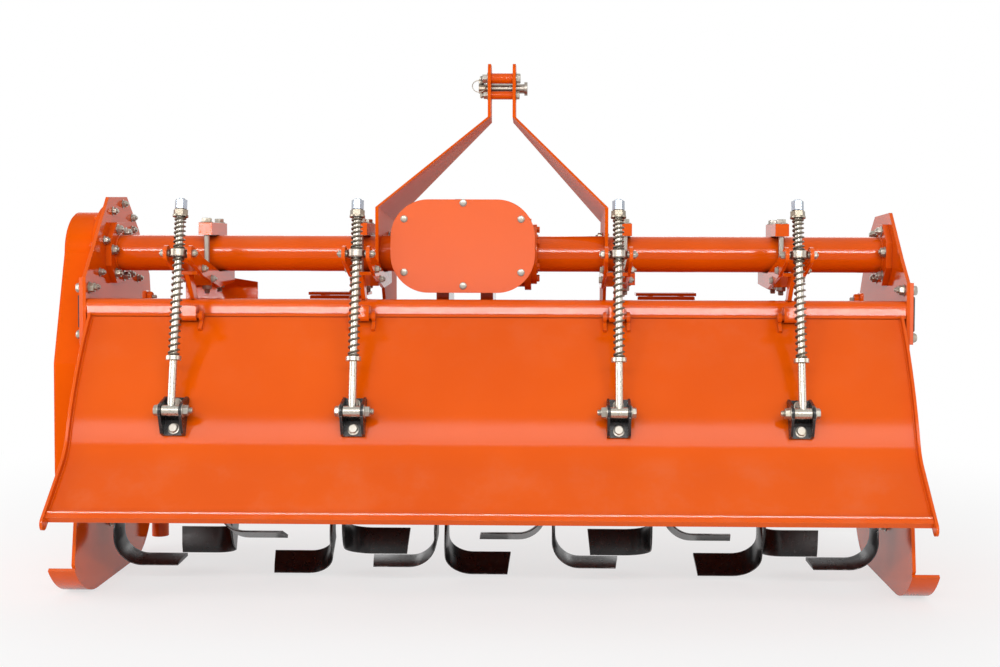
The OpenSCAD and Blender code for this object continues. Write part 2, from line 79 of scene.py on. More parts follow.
# Places that the pieces share, in the source's millimetres unless a joint gives them.
# Side plates with their straps, main tube with its flanges, and gearbox
SIDE_IN = 955.0
SIDE_OUT = 963.0
STRAP_T = 8.0
STRAP_Y = -29
TUBE = (175.0, 797.0)
TUBE_R = 44.45
TUBE_FLANGE = 14.0
BOX_LEFT = -192.0
BOX_RIGHT = 83.0
BOX_Z = 816
COVER_CORNERS = ((-216, 880), (61, 880), (-216, 754), (61, 754))
# Rotor, and its tines: thickness, rake, width, bend, reach and ground edge
ROTOR = (140.0, 253.0)
FLANGES = 8
FLANGE_PITCH = 260.5
FLANGE_T = 12.0
TINE_T = 8.0
TINE_RAKE = math.radians(37.0)
TINE_R = 220.8
TINE_W = 66.0
TINE_BEND = 58.0
TINE_REACH = 158.0
TINE_SLANT = 0.10
SHANK_R = 62
SHANK_HALF = 30
LEAD_SWEEP = 60
HEEL_SWEEP = 40
EDGE_T = 2.0
EDGE_W = 20.0
TINE_BOLT_R = 82
TINE_BOLT_HALF = 17
# Trailing board: a round upper part, a bend and a straight flare
BOARD_R = 855
BOARD_CENTRE = (597.04, 87.45)
BOARD_TOP_LEAN = 41.1
BOARD_LOW_LEAN = 20
BEND_R = 120
FLARE_LEAN = 49.3
FLARE_LENGTH = 132
BOARD_EDGE = 938.5
# Rod brackets and clevises, mast, hood and lower hitch
ARM_OUT = 31.5
CHEEK_OUT = 26.0
CLAMP_OFF = (-4.0, -27.0, 27.0, 4.0)
CLAMP_H = 30.2
CLAMP_HALF = 62
HEAD_OUT = 36.5
MAST_FEET = (-291, 266)
MAST_HALF = 4
HOOD_TOP = 666.0
HOOD_LUGS = ((-866, 1), (888, -1))
BEAM_TOP = 546
HITCH_HALF = 437
# How far the shading leans upward on flat rear faces
BAR_LEAN = 0.206
CLAMP_LEAN = 0.159
COVER_LEAN = 0.21
TUBE_LEAN = 0.168
# Rods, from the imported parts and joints
ROD_X = [sum(c.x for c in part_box(f"rod_{i}")) / 2 for i in (1, 2, 3, 4)]
ROD_CROSS = [x / MM - DATUM.x / MM for x in ROD_X]
ROD_PIN = Vector(JOINTS["rod_pivot"]["pos_m"])
SWIVEL = Vector(JOINTS["swivel_pivot"]["pos_m"])
ROD_UP = Vector((0.0, SWIVEL.y - ROD_PIN.y, SWIVEL.z - ROD_PIN.z))
ROD_LEN = ROD_UP.length
ROD_UP = ROD_UP.normalized()
CLEVIS_LEAN = math.radians(23.9)
BOARD_OUT = Vector((0.0, -math.cos(CLEVIS_LEAN), math.sin(CLEVIS_LEAN)))
BOARD_UP = Vector((0.0, math.sin(CLEVIS_LEAN), math.cos(CLEVIS_LEAN)))
SPRING_AIR = 0.2 * MM

# Colours under and over the paint, and of painted shade in corners and gaps
# Painted shade: the colour the enamel darkens to in corners
CORNER_SHADE = (0.20, 0.030, 0.006)
THIN_COAT = (0.86, 0.20, 0.055)
BARE_STEEL = (0.30, 0.25, 0.22)
DUST = (0.62, 0.36, 0.24)
# Painted shade: the colour plated parts darken to in their gaps
GAP_SHADE = (0.055, 0.048, 0.042)
RUBBED_STEEL = (0.46, 0.45, 0.44)
STRAW_NUT = (0.25, 0.215, 0.165)
BLUE_NUT = (0.34, 0.38, 0.43)


class TillerFinish(bpy.types.PropertyGroup):
    """Colours and gloss of the paint and the metals"""

    orange: bpy.props.FloatVectorProperty(
        name="Orange", description="Colour of the enamel", subtype="COLOR", size=3, min=0.0, max=1.0,
        default=(0.71, 0.092, 0.0008))
    orange_deep: bpy.props.FloatVectorProperty(
        name="Deep orange", description="Colour of the enamel where the coat is thick or dirty",
        subtype="COLOR", size=3, min=0.0, max=1.0, default=(0.61, 0.068, 0.0006))
    gloss: bpy.props.FloatProperty(
        name="Roughness", description="Roughness of fresh enamel", subtype="FACTOR", min=0.0, max=1.0,
        default=0.05)
    zinc: bpy.props.FloatVectorProperty(
        name="Zinc", description="Colour of the plated rods, springs and fasteners", subtype="COLOR", size=3,
        min=0.0, max=1.0, default=(0.44, 0.41, 0.36))
    tine_black: bpy.props.FloatVectorProperty(
        name="Tine black", description="Colour of the paint on the tines", subtype="COLOR", size=3,
        min=0.0, max=1.0, default=(0.006, 0.0055, 0.006))
    wear: bpy.props.FloatProperty(
        name="Wear", description="How far paint is worn from edges", subtype="FACTOR", min=0.0, max=1.0,
        default=0.5)


class TillerSprings(bpy.types.PropertyGroup):
    """Sizes of the spring rods' coils"""

    wire: bpy.props.FloatProperty(
        name="Wire radius", description="Half the thickness of the wire", unit="LENGTH", default=2.2 * MM)
    coil: bpy.props.FloatProperty(
        name="Coil radius", description="From the rod's axis to the middle of the wire", unit="LENGTH",
        default=11.2 * MM)
    collar: bpy.props.FloatProperty(
        name="Collar", description="Top of the collar over the rod's pin", unit="LENGTH", default=121.0 * MM)
    ring: bpy.props.FloatProperty(
        name="Ring", description="Half the height of the swivel ring", unit="LENGTH", default=9.0 * MM)
    cap: bpy.props.FloatProperty(
        name="Cap", description="Underside of the top washer over the rod's pin", unit="LENGTH",
        default=438.0 * MM)
    lower_turns: bpy.props.FloatProperty(
        name="Lower turns", description="Turns of the lower coil", default=17.0)
    upper_turns: bpy.props.FloatProperty(
        name="Upper turns", description="Turns of the upper coil", default=8.0)
    keep: bpy.props.FloatProperty(
        name="Kept length", description="Share of the lower coil's length left with the board fully raised",
        subtype="FACTOR", min=0.1, max=1.0, default=0.735)


class TillerStage(bpy.types.PropertyGroup):
    """Floor, lamps and view"""

    floor: bpy.props.FloatVectorProperty(
        name="Floor", description="Colour of the floor", subtype="COLOR", size=3, min=0.0, max=1.0,
        default=(0.86, 0.86, 0.86))
    sky: bpy.props.FloatProperty(name="Sky", description="Strength of the even light", default=0.42)
    low_box: bpy.props.FloatProperty(
        name="Low softbox", description="Power of the strip light behind the viewer", unit="POWER",
        default=275.0)
    high_box: bpy.props.FloatProperty(
        name="High softbox", description="Power of the softbox above the viewer", unit="POWER",
        default=70.0)
    left_box: bpy.props.FloatProperty(
        name="Left softbox", description="Power of the softbox on the left", unit="POWER", default=200.0)
    right_box: bpy.props.FloatProperty(
        name="Right softbox", description="Power of the softbox on the right", unit="POWER", default=70.0)
    front_box: bpy.props.FloatProperty(
        name="Front softbox", description="Power of the softbox in front", unit="POWER", default=86.0)
    lens: bpy.props.FloatProperty(name="Lens", description="Focal length", unit="CAMERA", default=49.52)


class Signal:
    """A shader socket in an expression: sums and products of signals add their Math nodes."""

    def __init__(self, recipe, socket):
        self.recipe = recipe
        self.socket = socket

    def _math(self, operation, a, b):
        return self.recipe.add("ShaderNodeMath", {"operation": operation}, {0: a, 1: b})

    def __add__(self, other):
        return self._math("ADD", self, other)

    def __radd__(self, other):
        return self._math("ADD", other, self)

    def __sub__(self, other):
        return self._math("SUBTRACT", self, other)

    def __rsub__(self, other):
        return self._math("SUBTRACT", other, self)

    def __mul__(self, other):
        return self._math("MULTIPLY", self, other)

    def __rmul__(self, other):
        return self._math("MULTIPLY", other, self)

    def step(self, low, high):
        """0 below low, 1 above high, smooth between."""
        return self.recipe.add("ShaderNodeMapRange", {"interpolation_type": "SMOOTHSTEP"},
                               {"Value": self, "From Min": low, "From Max": high})

    def most(self, other):
        return self._math("MAXIMUM", self, other)


class Recipe:
    """The node tree of one material or world."""

    def __init__(self, owner):
        owner.use_nodes = True
        self.owner = owner
        self.tree = owner.node_tree
        self.tree.nodes.clear()

    def add(self, kind, settings=None, sockets=None, out=0):
        """Any node: its type, its settings, which are set first, and its sockets' values or links."""
        node = self.tree.nodes.new(kind)
        for name, value in (settings or {}).items():
            setattr(node, name, value)
        for key, value in (sockets or {}).items():
            if isinstance(value, Signal):
                self.tree.links.new(value.socket, node.inputs[key])
            else:
                node.inputs[key].default_value = value
        return Signal(self, node.outputs[out]) if node.outputs else None

    def place(self):
        """Where the surface is, in the piece's own metres."""
        return self.add("ShaderNodeTexCoord", out="Object")

    def noise(self, scale, detail, rough=0.55):
        """Cloudy values about 0.5, in the piece's own metres."""
        return self.add("ShaderNodeTexNoise", {}, {"Vector": self.place(), "Scale": scale, "Detail": detail,
                                                   "Roughness": rough})

    def outward(self):
        """The direction in which the surface really faces."""
        return self.add("ShaderNodeNewGeometry", out="Normal")

    def dot(self, a, b):
        """How far two directions agree."""
        return self.add("ShaderNodeVectorMath", {"operation": "DOT_PRODUCT"}, {0: a, 1: b}, out="Value")

    def rounded(self, radius):
        """The surface direction with its edges rounded off."""
        return self.add("ShaderNodeBevel", {"samples": 4}, {"Radius": radius})

    def edge(self, radius):
        """1 on an edge, 0 on the flat."""
        return (1.0 - self.dot(self.rounded(radius), self.outward())).step(0.02, 0.22)

    def upward(self):
        """1 on what faces up, 0 on walls."""
        return self.add("ShaderNodeSeparateXYZ", {}, {0: self.outward()}, out="Z").step(0.35, 0.95)

    def hollow(self, distance):
        """1 in corners, 0 in the open, from ambient occlusion: the mask of painted shade."""
        open_share = self.add("ShaderNodeAmbientOcclusion", {"samples": 6}, {"Distance": distance},
                              out="AO")
        return (1.0 - open_share).step(0.25, 0.85)

    def tint(self, share, first, second):
        """A colour between two, by a share."""
        return self.add("ShaderNodeMix", {"data_type": "RGBA"},
                        {"Factor": share, 6: first if isinstance(first, Signal) else (*first, 1.0),
                         7: second if isinstance(second, Signal) else (*second, 1.0)}, out=2)

    def leant(self, normal, lean):
        """A direction leant upward on faces that look straight back."""
        back = self.dot(self.outward(), (0.0, -1.0, 0.0))
        lift = self.tint(back.step(0.97, 0.995), (0.0, 0.0, 0.0), (0.0, 0.0, lean))
        both = self.add("ShaderNodeVectorMath", {"operation": "ADD"}, {0: normal, 1: lift})
        return self.add("ShaderNodeVectorMath", {"operation": "NORMALIZE"}, {0: both})

    def flattened(self, normal, lean):
        """A direction held at one lean along a narrow band on the rear of a round bar."""
        flat = self.outward()
        rise = self.add("ShaderNodeSeparateXYZ", {}, {0: flat}, out="Z")
        back = self.add("ShaderNodeSeparateXYZ", {}, {0: flat}, out="Y").step(-0.8, -0.9)
        band = rise.step(lean - 0.06, lean - 0.05) * rise.step(lean + 0.06, lean + 0.05) * back
        return self.add("ShaderNodeMix", {"data_type": "VECTOR"},
                        {0: band, 4: normal, 5: (0.0, -math.sqrt(1 - lean * lean), lean)}, out=1)

    def bump(self, height, depth, normal):
        """A fine relief on a direction."""
        return self.add("ShaderNodeBump", {}, {"Height": height, "Distance": depth, "Strength": 1.0,
                                               "Normal": normal})

    def finish(self, **sockets):
        """The surface shader, with constants set on its own sockets."""
        names = {key.replace("_", " ").title().replace("Ior", "IOR"): value for key, value in sockets.items()}
        shader = self.add("ShaderNodeBsdfPrincipled", {}, names)
        self.add("ShaderNodeOutputMaterial", {}, {"Surface": shader})
        return self.owner


def enamel(name, look, worn=0.35, soil=0.0, lean=0.0, dull=0.0, shine=0.18, facet=0.0):
    """Gloss enamel on plate: slow colour drift, dull patches, thin edges, painted shade in corners."""
    r = Recipe(bpy.data.materials.new(name))
    drift = r.noise(2.3, 3.0)
    speck = r.noise(46.0, 4.0, 0.62)
    peel = r.noise(420.0, 2.0)
    colour = r.tint(drift.step(0.32, 0.72), look.orange_deep, look.orange)
    colour = r.tint(0.45 + drift * 0.25, colour, look.orange)
    # Painted shade: ambient occlusion darkens the colour in corners, where shade falls, and roughens the enamel
    # there
    corner_shade = r.hollow(0.035) * (0.35 + speck * 0.5)
    colour = r.tint(corner_shade, colour, CORNER_SHADE)
    edge = r.edge(0.0022)
    rub = edge * speck.step(0.62 - 0.3 * worn, 0.80)
    colour = r.tint(edge * 0.30, colour, THIN_COAT)
    bare = rub * (worn * look.wear * 1.6)
    colour = r.tint(bare, colour, BARE_STEEL)
    dust = r.upward() * r.noise(9.0, 5.0, 0.6).step(0.42, 0.75)
    colour = r.tint(dust * (0.10 + soil * 0.5), colour, DUST)
    rough = look.gloss + dull + speck * 0.06 + corner_shade * 0.25 + dust * (0.15 + soil * 0.3)
    soft = r.rounded(0.0016)
    if lean:
        soft = r.leant(soft, lean)
    if facet:
        soft = r.flattened(soft, facet)
    normal = r.bump(peel * 0.6 + speck * 0.4, 0.00010, soft)
    return r.finish(base_color=colour, roughness=rough, normal=normal, metallic=bare * 0.7,
                    specular_ior_level=shine)


def plating(name, base, rough, stain, bands=None, metal=1.0):
    """Bright zinc: fine crystals, faint straw stain, painted shade in the gaps, and bands of another colour."""
    r = Recipe(bpy.data.materials.new(name))
    cell = r.noise(160.0, 3.0, 0.6)
    cloud = r.noise(14.0, 3.0)
    straw = (base[0] * 0.93, base[1] * 0.82, base[2] * 0.62)
    colour = r.tint(cloud.step(0.40, 0.75) * stain, base, straw)
    for share, other in bands(r) if bands else ():
        colour = r.tint(share, colour, other)
    # Painted shade: ambient occlusion darkens the plating where parts close in, and roughens it there
    gap = r.hollow(0.008)
    colour = r.tint(gap * 0.62, colour, GAP_SHADE)
    normal = r.bump(cell, 0.00006, r.rounded(0.0008))
    rough = rough + cell * 0.16 + gap * 0.25
    return r.finish(base_color=colour, metallic=metal, roughness=rough, normal=normal)


def black_coat(name, base, rough, bare_radius=0.0016, tip=None):
    """Black paint over forged steel, bright where edges and working faces are rubbed."""
    r = Recipe(bpy.data.materials.new(name))
    speck = r.noise(70.0, 4.0, 0.65)
    cloud = r.noise(7.0, 3.0)
    bare = r.edge(bare_radius) * speck.step(0.40, 0.66)
    if tip:
        bare = bare.most(tip(r) * speck.step(0.58, 0.80) * 0.3)
    colour = r.tint(cloud.step(0.35, 0.75) * 0.6, base, tuple(c * 2.4 + 0.004 for c in base))
    colour = r.tint(bare, colour, RUBBED_STEEL)
    normal = r.bump(speck, 0.00022, r.rounded(0.0014))
    return r.finish(base_color=colour, metallic=bare * 0.95, roughness=rough + speck * 0.14 - bare * 0.10,
                    normal=normal, specular_ior_level=0.5)


def gap_shade_coat(name):
    """Dull black with a dusty bloom: painted shade for the shadowed gap between strap and gear case."""
    r = Recipe(bpy.data.materials.new(name))
    grain = r.noise(260.0, 3.0)
    bloom = r.noise(12.0, 4.0)
    colour = r.tint(bloom.step(0.40, 0.80) * 0.5, (0.012, 0.012, 0.013), (0.045, 0.042, 0.040))
    normal = r.bump(grain, 0.00012, r.rounded(0.0010))
    return r.finish(base_color=colour, roughness=0.58 + bloom * 0.2, normal=normal, specular_ior_level=0.35)


def cutting_zone(r):
    """How near the surface is to the tips of the tines, 0 to 1."""
    axis = spot(0.0, *ROTOR)
    at = r.add("ShaderNodeVectorMath", {"operation": "SUBTRACT"}, {0: r.place(), 1: axis})
    flat = r.add("ShaderNodeVectorMath", {"operation": "MULTIPLY"}, {0: at, 1: (0.0, 1.0, 1.0)})
    far = r.add("ShaderNodeVectorMath", {"operation": "LENGTH"}, {0: flat}, out="Value")
    return far.step(0.205, 0.240)


def nut_bands(r):
    """The straw nut and the blue-white nut at the top of a rod, as shares and colours."""
    at = r.add("ShaderNodeVectorMath", {"operation": "SUBTRACT"}, {0: r.place(), 1: ROD_PIN})
    up = r.dot(at, ROD_UP)
    return (up.step(0.437, 0.438), STRAW_NUT), (up.step(0.4545, 0.4555), BLUE_NUT)


def finish(name):
    return bpy.data.materials[name]


# What is not in plain orange enamel
COATS = {
    "rod_zinc": ("rod_1", "rod_2", "rod_3", "rod_4"),
    "black_enamel": ("rod_clevises", "pto_guard"),
    "tine_paint": ("tines_left_hand", "tines_right_hand"),
    "soiled_enamel": ("rotor_shaft", "skid_left", "skid_right", "stand_leg", "bearing_hub_left",
                      "bearing_hub_right"),
    "ground_steel": ("input_shaft",),
    "dull_steel": ("top_link_pin", "swivels"),
    "bar_enamel": ("hinge_bar",),
    "clamp_enamel": ("rod_bracket_1",),
    "satin_enamel": ("side_strap_left", "side_strap_right", "gearbox_cover"),
    "matt_enamel": ("mast_arm_left", "mast_arm_right", "side_gear_case"),
    "tube_enamel": ("main_tube_left", "main_tube_right"),
}


class TILLER_OT_finishes(bpy.types.Operator):
    """Mixes the paints and metals and lays them on the solid model's parts"""

    bl_idname = "tiller.finishes"
    bl_label = "Lay paint and plating"

    def execute(self, context):
        look = context.scene.tiller_finish
        enamel("orange_enamel", look)
        enamel("soiled_enamel", look, worn=0.7, soil=0.5)
        enamel("bar_enamel", look, lean=BAR_LEAN)
        enamel("clamp_enamel", look, lean=CLAMP_LEAN)
        enamel("satin_enamel", look, lean=COVER_LEAN, dull=0.22)
        enamel("matt_enamel", look, dull=0.25, shine=0.02)
        enamel("tube_enamel", look, facet=TUBE_LEAN)
        plating("rod_zinc", tuple(look.zinc), 0.20, 0.5, nut_bands, 0.7)
        plating("spring_steel", (0.17, 0.14, 0.105), 0.24, 0.5, None, 0.8)
        plating("dull_steel", (0.34, 0.30, 0.26), 0.30, 0.5)
        plating("fastener_zinc", tuple(c * 0.90 for c in look.zinc), 0.26, 0.6, None, 0.8)
        plating("ground_steel", (0.50, 0.49, 0.47), 0.24, 0.2)
        black_coat("black_enamel", (0.007, 0.007, 0.0075), 0.20)
        gap_shade_coat("gap_shade_black")
        black_coat("tine_paint", tuple(look.tine_black), 0.22, 0.0022, cutting_zone)
        coat_of = {node: coat for coat, nodes in COATS.items() for node in nodes}
        for name, part in frame["nodes"].items():
            part.data.materials.clear()
            part.data.materials.append(finish(coat_of.get(name, "orange_enamel")))
        return {"FINISHED"}


def skin(bm, rings, loop=False):
    """Faces between rings of points, and over the two ends unless the rings close on themselves."""
    rows = [[bm.verts.new(p) for p in ring] for ring in rings]
    pairs = list(zip(rows, rows[1:]))
    if loop:
        pairs.append((rows[-1], rows[0]))
    count = len(rows[0])
    for a, b in pairs:
        for i in range(count):
            j = (i + 1) % count
            bm.faces.new((a[i], a[j], b[j], b[i]))
    if not loop:
        bm.faces.new(rows[0][::-1])
        bm.faces.new(rows[-1])


def facing(at, axis, turn=0.0):
    """The place of a turned part: its foot at a point, its axis along a direction."""
    turned_to = Vector(axis).to_track_quat("Z", "Y").to_matrix().to_4x4()
    return Matrix.Translation(at) @ turned_to @ Matrix.Rotation(turn, 4, "Z")


def turn_up(bm, to, profile, sides=24):
    """A turned form: steps of (radius, height) or, for hexagon stock, (half flats, height, corner radius)."""
    rings = []
    for step in profile:
        ring = []
        for k in range(sides):
            a = 2.0 * math.pi * k / sides
            radius = step[0]
            if len(step) == 3:
                radius = min(radius / math.cos((a + math.pi / 6) % (math.pi / 3) - math.pi / 6), step[2])
            ring.append(to @ Vector((radius * math.cos(a), radius * math.sin(a), step[1])))
        rings.append(ring)
    skin(bm, rings)


def washer(bm, to, d):
    """A plain washer; gives the place on top of it."""
    turn_up(bm, to, [(1.02 * d, 0.0), (1.08 * d, 0.03 * d), (1.08 * d, 0.15 * d), (1.02 * d, 0.18 * d)], 20)
    return to @ Matrix.Translation((0.0, 0.0, 0.18 * d))


def hexagon(bm, to, d, height):
    """A hexagon head or nut with its corners turned off at the top."""
    half = 0.76 * d
    turn_up(bm, to, [(half, 0.0, 2 * d), (half, 0.80 * height, 2 * d), (half, 0.93 * height, 1.07 * half),
                     (half, height, 0.98 * half), (0.62 * half, height)])
    return to @ Matrix.Translation((0.0, 0.0, height))


def thread_end(bm, to, d, length):
    """The end of a threaded stud, with its ridges."""
    pitch = max(0.13 * d, 0.0012)
    count = max(2, int(length / pitch))
    profile = [(0.47 * d, -0.001)]
    for k in range(count):
        profile += [(0.50 * d, pitch * (k + 0.25)), (0.44 * d, pitch * (k + 0.75))]
    profile.append((0.36 * d, pitch * count + 0.06 * d))
    turn_up(bm, to, profile, 14)


def bolt(bm, at, axis, d, seated, turn):
    """A hexagon head on its washer."""
    to = facing(at, axis, turn)
    if seated:
        to = washer(bm, to, d)
    hexagon(bm, to, d, 0.64 * d)


def nut(bm, at, axis, d, stud, seated, turn):
    """A nut on its washer, with the stud standing out of it."""
    to = facing(at, axis, turn)
    if seated:
        to = washer(bm, to, d)
    to = hexagon(bm, to, d, 0.82 * d)
    thread_end(bm, to, d, stud * d)


def dome(bm, at, axis, d):
    """The round head of a coach bolt."""
    turn_up(bm, facing(at, axis), [(1.02 * d, 0.0), (1.05 * d, 0.06 * d), (0.98 * d, 0.20 * d),
                                   (0.78 * d, 0.36 * d), (0.45 * d, 0.46 * d), (0.12 * d, 0.50 * d)])


def wire_ring(bm, centre, normal, radius, thick, count=40, sides=8):
    """A closed ring of round wire."""
    to = facing(centre, normal)
    rings = []
    for i in range(count):
        a = 2 * math.pi * i / count
        out = Vector((math.cos(a), math.sin(a), 0.0))
        rings.append([to @ (out * (radius + thick * math.cos(b)) + Vector((0, 0, thick * math.sin(b))))
                      for b in (2 * math.pi * k / sides for k in range(sides))])
    skin(bm, rings, loop=True)


def collar(bm, to, inner, outer, half, count=36):
    """A ring of square section with its outer edges broken."""
    soft = 0.12 * half
    section = ((inner, -half), (outer - soft, -half), (outer, soft - half), (outer, half - soft),
               (outer - soft, half), (inner, half))
    rings = []
    for i in range(count):
        a = 2 * math.pi * i / count
        rings.append([to @ Vector((r * math.cos(a), r * math.sin(a), z)) for r, z in section])
    skin(bm, rings, loop=True)


def strip(bm, to, width, height, thick, corner):
    """A flat strip with round corners and a soft rim, lying on its foot plane."""
    rings = []
    for inset, level in ((0.0, 0.0), (0.0, 0.7 * thick), (0.3 * thick, thick)):
        ring = []
        for i, j, first in ((1, 1, 0), (-1, 1, 90), (-1, -1, 180), (1, -1, 270)):
            for k in range(5):
                a = math.radians(first + 22.5 * k)
                ring.append(to @ Vector((i * (width / 2 - corner) + (corner - inset) * math.cos(a),
                                         j * (height / 2 - corner) + (corner - inset) * math.sin(a), level)))
        rings.append(ring)
    skin(bm, rings)


def around(centre, radius, count, first=0.0):
    """Spots on a circle round a cross axis, with their number."""
    for k in range(count):
        a = math.radians(first + 360.0 * k / count)
        yield centre[0] + radius * math.cos(a), centre[1] + radius * math.sin(a), k


def tine_places(hand):
    """Flange, roll and turn of every tine of one hand: three on each flange but the last on its side."""
    bare, first = (0, 2) if hand < 0 else (FLANGES - 1, 3)
    for i in range(FLANGES):
        if i != bare:
            for k in range(3):
                turn = math.radians(30 * (i - first) + 120 * k)
                yield (i - (FLANGES - 1) / 2) * FLANGE_PITCH, math.pi - turn + TINE_RAKE, turn


def on_rotor(x, roll, across, out):
    """A point of a flat tine, across and out from the rotor's axis, as the tine is rolled round it."""
    return spot(x, ROTOR[0] + across * math.cos(roll) - out * math.sin(roll),
                ROTOR[1] + across * math.sin(roll) + out * math.cos(roll))


def bead(bm, points, radius, seed, sides=7):
    """A weld bead along a line of points: overlapping ripples of uneven width."""
    dice = random.Random(seed)
    line = []
    for a, b in zip(points, points[1:]):
        count = max(1, round((b - a).length / radius))
        line += [a.lerp(b, k / count) for k in range(count)]
    line.append(points[-1])
    rings = []
    for i, p in enumerate(line):
        run = (line[min(i + 1, len(line) - 1)] - line[max(i - 1, 0)]).normalized()
        u = run.cross(Vector((0.31, 0.57, 0.76))).normalized()
        v = run.cross(u)
        swell = radius * (0.80 + 0.20 * abs(math.sin(1.15 * i)) + 0.07 * dice.uniform(-1, 1))
        if i in (0, len(line) - 1):
            swell *= 0.55
        rings.append([p + swell * (math.cos(t) * u + math.sin(t) * v)
                      for t in (2 * math.pi * k / sides for k in range(sides))])
    skin(bm, rings)


def tube_seam(x, steps=36):
    """Points of the weld where the main tube meets a flange."""
    points = []
    for k in range(steps + 1):
        a = math.radians(360 * k / steps)
        points.append(spot(x, TUBE[0] + (TUBE_R + 1) * math.cos(a), TUBE[1] + (TUBE_R + 1) * math.sin(a)))
    return points


def make(name, bm, body, coat, sharp=38.0):
    """A finished piece, riding on a body."""
    bmesh.ops.recalc_face_normals(bm, faces=bm.faces)
    mesh = bpy.data.meshes.new(name)
    bm.to_mesh(mesh)
    bm.free()
    mesh.polygons.foreach_set("use_smooth", [True] * len(mesh.polygons))
    mesh.set_sharp_from_angle(angle=math.radians(sharp))
    mesh.materials.append(finish(coat))
    piece = bpy.data.objects.new(name, mesh)
    bpy.context.scene.collection.objects.link(piece)
    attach(piece, body)
    return piece


def coil(bm, foot, axis, radius, wire, length, turns):
    """A compression spring with a closed, flattened turn at each end."""
    to = facing(foot, axis)
    per_turn = 26
    sides = 9
    count = int(turns * per_turn)
    dead = 1.0
    rise = (length - 2 * wire - 2 * dead * 2 * wire) / (turns - 2 * dead)
    rings = []
    for i in range(count + 1):
        t = i / per_turn
        if t < dead:
            z = wire + 2 * wire * t
        elif t > turns - dead:
            z = length - wire - 2 * wire * (turns - t)
        else:
            z = wire + 2 * wire * dead + rise * (t - dead)
        a = 2 * math.pi * t
        out = Vector((math.cos(a), math.sin(a), 0.0))
        run = Vector((-math.sin(a) * radius, math.cos(a) * radius, rise / (2 * math.pi))).normalized()
        up = out.cross(run)
        thick = wire * min(1.0, 0.45 + 0.55 * min(t, turns - t) / 0.35)
        rings.append([to @ (out * radius + Vector((0, 0, z)) + thick * (math.cos(b) * out + math.sin(b) * up))
                      for b in (2 * math.pi * k / sides for k in range(sides))])
    skin(bm, rings)


class TILLER_OT_springs(bpy.types.Operator):
    """Winds the coil springs on the four rods"""

    bl_idname = "tiller.springs"
    bl_label = "Wind springs"

    def execute(self, context):
        s = context.scene.tiller_springs
        low = bmesh.new()
        high = bmesh.new()
        for x in ROD_X:
            pin = Vector((x, ROD_PIN.y, ROD_PIN.z))
            foot = pin + ROD_UP * (s.collar + SPRING_AIR)
            length = ROD_LEN - s.ring - s.collar - 2 * SPRING_AIR
            coil(low, foot, ROD_UP, s.coil, s.wire, length, s.lower_turns)
            foot = pin + ROD_UP * (ROD_LEN + s.ring + SPRING_AIR)
            length = s.cap - ROD_LEN - s.ring - 2 * SPRING_AIR
            coil(high, foot, ROD_UP, s.coil, s.wire, length, s.upper_turns)
        lower = make("lower_coils", low, "spring_rods", "spring_steel")
        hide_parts("lower_springs")
        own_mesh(lower)
        upper = make("upper_coils", high, "spring_rods", "spring_steel")
        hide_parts("upper_springs")
        return {"FINISHED"}


class TILLER_OT_cover_screws(bpy.types.Operator):
    """Puts the six low screws on the gearbox's rear cover"""

    bl_idname = "tiller.cover_screws"
    bl_label = "Cover screws"

    def execute(self, context):
        bm = bmesh.new()
        for x, z in ((-76, 918), *COVER_CORNERS, (-76, 722)):
            to = facing(spot(x, 12, z), (0, -1, 0), 0.3 * x)
            turn_up(bm, to, [(8.4 * MM, 0.0), (8.6 * MM, 0.3 * MM), (8.6 * MM, 1.1 * MM),
                             (8.2 * MM, 1.4 * MM)])
            to = to @ Matrix.Translation((0, 0, 1.4 * MM))
            turn_up(bm, to, [(7.4 * MM, 0.0), (7.4 * MM, 2.0 * MM), (6.9 * MM, 3.0 * MM),
                             (5.2 * MM, 3.5 * MM), (2.0 * MM, 3.7 * MM)])
        make("cover_screws", bm, "frame", "fastener_zinc")
        return {"FINISHED"}


class TILLER_OT_tube_bolts(bpy.types.Operator):
    """Bolts the main tube's flanges to the side plates and the gearbox"""

    bl_idname = "tiller.tube_bolts"
    bl_label = "Tube bolts"

    def execute(self, context):
        bm = bmesh.new()
        for s in (-1, 1):
            for y, z, k in around(TUBE, 63, 6, -7):
                nut(bm, spot(s * (SIDE_IN - TUBE_FLANGE), y, z), (-s, 0, 0), 12 * MM, 0.35, True, 0.7 * k)
                if s > 0:
                    bolt(bm, spot(SIDE_OUT, y, z), (s, 0, 0), 14 * MM, True, 0.4 * k)
        make("tube_bolts", bm, "frame", "fastener_zinc")
        bm = bmesh.new()
        for s, gear_end in ((-1, BOX_LEFT - TUBE_FLANGE), (1, BOX_RIGHT + TUBE_FLANGE)):
            for y, z, k in around(TUBE, 60, 6, 30):
                bolt(bm, spot(gear_end, y, z), (s, 0, 0), 10 * MM, False, 0.5 * k)
        make("gearbox_bolts", bm, "frame", "orange_enamel")
        return {"FINISHED"}


